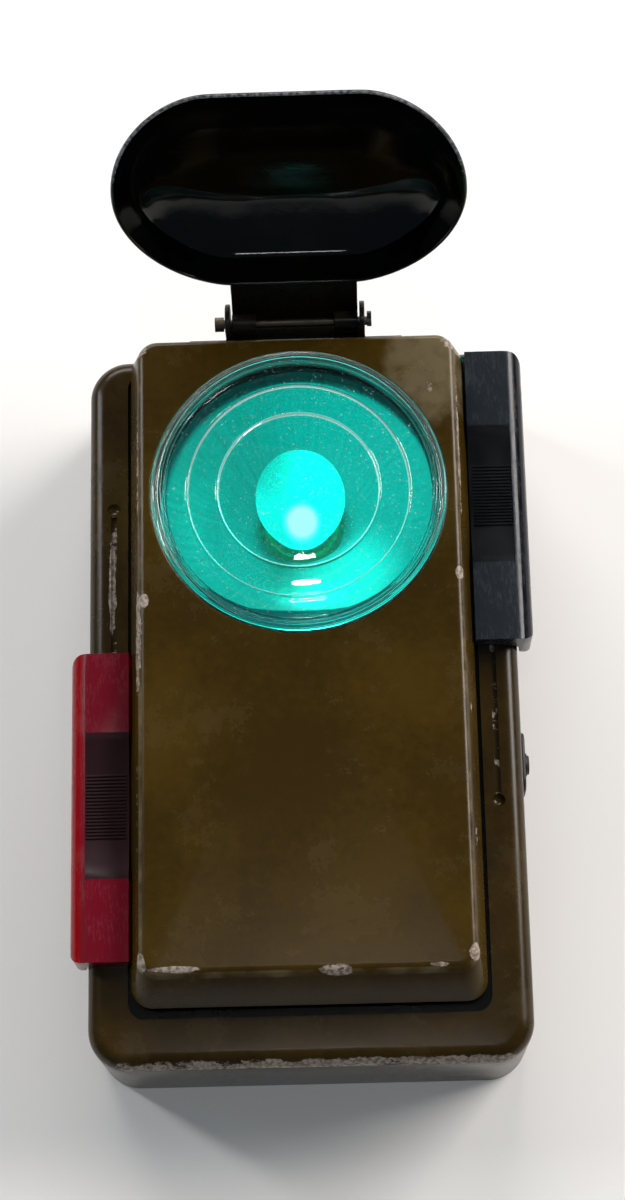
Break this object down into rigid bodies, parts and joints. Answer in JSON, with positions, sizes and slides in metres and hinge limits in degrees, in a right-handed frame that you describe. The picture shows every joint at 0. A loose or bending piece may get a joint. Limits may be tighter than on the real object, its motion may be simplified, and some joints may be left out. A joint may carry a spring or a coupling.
{
  "type": "morse signal lamp",
  "caption": "Flat pocket signal lamp with a stepped lens, two sliding colour filters, a hinged dish hood, a lockable morse key and a hinged back with a belt clip.",
  "frame": {"origin": "middle of the flat back face, on the back cover's outer surface", "axes": "+Z out of the lamp's front, +Y towards the end that carries the hood, +X to the right seen from the front"},
  "size_m": [0.0804, 0.1501, 0.0895],
  "materials": {
    "olive_paint": "worn olive-brown enamel on pressed steel",
    "dark_paint": "worn blackish olive enamel on pressed steel",
    "lens_glass": "clear pressed lens with concentric steps",
    "bulb_glass": "clear glass",
    "red_plastic": "translucent red moulding, dusty",
    "green_plastic": "translucent dark blue-green moulding",
    "black_plastic": "black moulding",
    "seal_rubber": "soft black rubber",
    "plain_steel": "plain steel",
    "reflector_chrome": "bright plated dish",
    "contact_brass": "plain brass",
    "board": "brown laminated paper board",
    "battery_wrap": "plain printed card sleeve"
  },
  "bodies": {
    "lamp_case": {"case_shell": "olive_paint", "front_housing": "olive_paint", "lens": "lens_glass", "lens_seal": "seal_rubber", "lens_clamp_ring": "plain_steel", "reflector": "reflector_chrome", "bulb_glass": "bulb_glass", "bulb_base": "contact_brass", "bulb_socket": "contact_brass", "contact_board": "board", "centre_contact": "contact_brass", "battery_case": "battery_wrap", "battery_tongue_long": "contact_brass", "battery_tongue_short": "contact_brass", "switch_contact": "contact_brass", "hinge_bracket": "dark_paint", "bracket_rivet_left": "plain_steel", "bracket_rivet_right": "plain_steel", "hinge_pin": "plain_steel", "cover_hinge_pin": "plain_steel"},
    "hood": {"hood": "dark_paint"},
    "red_filter": {"red_filter_slide": "red_plastic"},
    "green_filter": {"green_filter_slide": "green_plastic"},
    "switch": {"switch_slide": "black_plastic"},
    "morse_key": {"morse_button": "black_plastic"},
    "back": {"back_cover": "olive_paint", "cover_catch": "plain_steel", "belt_clip": "dark_paint", "clip_rivet_left": "plain_steel", "clip_rivet_right": "plain_steel"}
  },
  "joints": [
    {"name": "hood_hinge", "type": "hinge", "parent": "lamp_case", "child": "hood", "pos_m": [0, 0.0667, 0.0345], "axis": [1, 0, 0], "range_deg": [0, 104]},
    {"name": "red_filter_slide_joint", "type": "slide", "parent": "lamp_case", "child": "red_filter", "axis": [0, 1, 0], "range_m": [0, 0.0544]},
    {"name": "green_filter_slide_joint", "type": "slide", "parent": "lamp_case", "child": "green_filter", "axis": [0, -1, 0], "range_m": [0, 0.0544]},
    {"name": "switch_lock_slide", "type": "slide", "parent": "lamp_case", "child": "switch", "axis": [0, -1, 0], "range_m": [0, 0.005]},
    {"name": "morse_key_press", "type": "slide", "parent": "switch", "child": "morse_key", "axis": [-1, 0, 0], "range_m": [0, 0.0012], "stiffness_N_per_m": 20, "springref_m": -0.002},
    {"name": "back_cover_hinge", "type": "hinge", "parent": "lamp_case", "child": "back", "pos_m": [0, -0.0607, 0.0015], "axis": [-1, 0, 0], "range_deg": [0, 100]}
  ]
}
